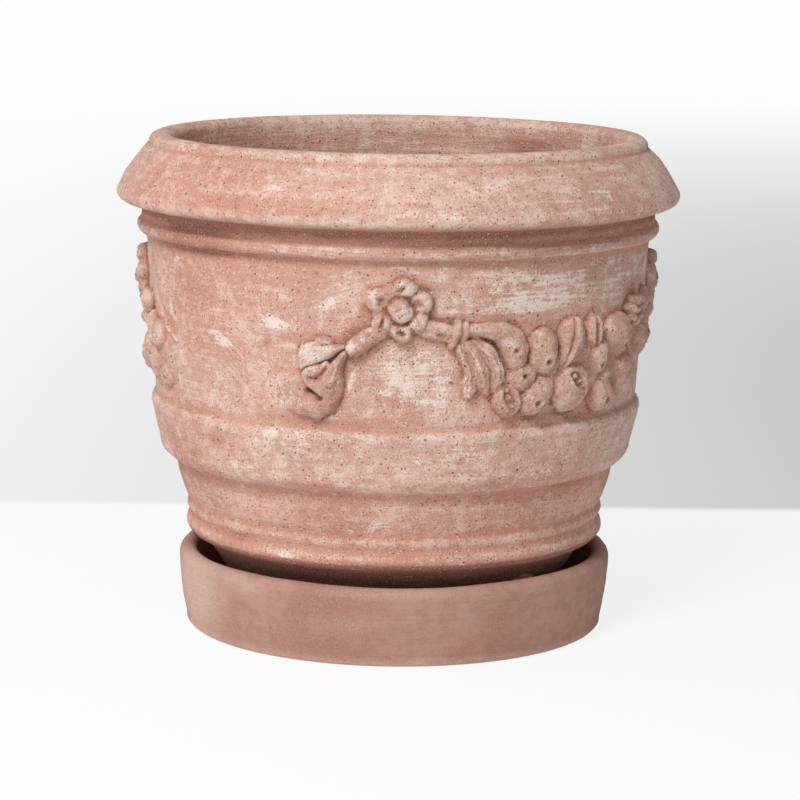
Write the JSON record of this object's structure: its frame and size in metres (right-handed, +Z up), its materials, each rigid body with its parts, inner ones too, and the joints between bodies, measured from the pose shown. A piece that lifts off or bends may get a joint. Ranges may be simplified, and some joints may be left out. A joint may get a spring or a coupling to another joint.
{
  "type": "terracotta flower pot",
  "caption": "Round terracotta flower pot with a sloping rim, banded wall, rosettes and fruit garlands in relief, standing in a plain saucer that the pot lifts out of.",
  "frame": {"origin": "centre of the saucer's flat underside, on the ground", "axes": "+Z up along the axis of the pot and saucer, front rosette towards -Y, +X to the right seen from the front"},
  "size_m": [0.3509, 0.351, 0.3081],
  "materials": {
    "pot_clay": "unglazed, rough, wiped with pale slip",
    "relief_clay": "unglazed, rough, pale on the high spots",
    "saucer_clay": "unglazed, smooth"
  },
  "bodies": {
    "saucer": {"saucer": "saucer_clay"},
    "pot": {"pot_body": "pot_clay", "clay_pad": "pot_clay", "rosette_front": "relief_clay", "rosette_right": "relief_clay", "rosette_back": "relief_clay", "rosette_left": "relief_clay", "ribbon_front_left": "relief_clay", "ribbon_front_right": "relief_clay", "ribbon_right_front": "relief_clay", "ribbon_right_back": "relief_clay", "ribbon_back_right": "relief_clay", "ribbon_back_left": "relief_clay", "ribbon_left_back": "relief_clay", "ribbon_left_front": "relief_clay", "garland_front_right": "relief_clay", "garland_back_right": "relief_clay", "garland_back_left": "relief_clay", "fruit_cluster_left": "relief_clay", "bell_fruit": "relief_clay", "folded_leaf": "relief_clay"}
  },
  "joints": [
    {"name": "pot_lift", "type": "slide", "parent": "saucer", "child": "pot", "axis": [0, 0, 1], "range_m": [0, 0.06]}
  ]
}
